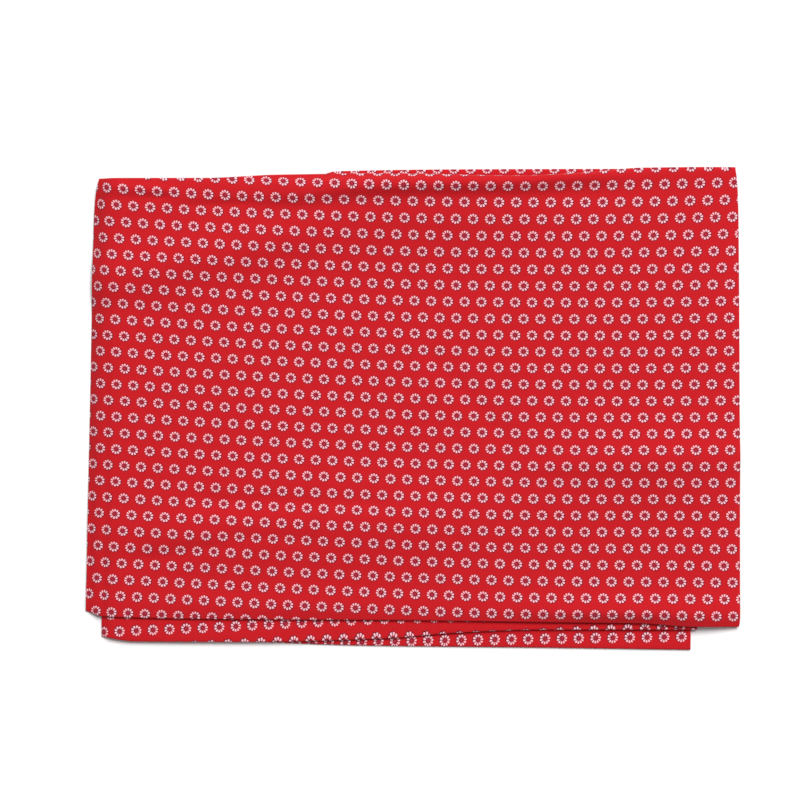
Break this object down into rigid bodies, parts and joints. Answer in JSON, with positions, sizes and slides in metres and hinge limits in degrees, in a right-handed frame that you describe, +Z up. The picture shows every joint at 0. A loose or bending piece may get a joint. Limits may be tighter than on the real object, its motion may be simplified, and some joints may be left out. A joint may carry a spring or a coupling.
{
  "type": "folded fabric remnant",
  "caption": "Length of thin printed cotton folded back and forth into a flat oblong pile, to lie on a surface.",
  "frame": {"origin": "middle of the pile's underside, at the centre of its outline seen from above", "axes": "+X across the cloth, to the right seen from the near edge; +Y from the near edge, where the lower layers show, to the far one; +Z up"},
  "size_m": [0.563, 0.4156, 0.0273],
  "materials": {
    "printed_cotton": "matt plain-weave cotton, red ground with small white ring flowers in a half-drop repeat"
  },
  "bodies": {
    "root": {"folded_cloth": "printed_cotton"}
  },
  "joints": []
}
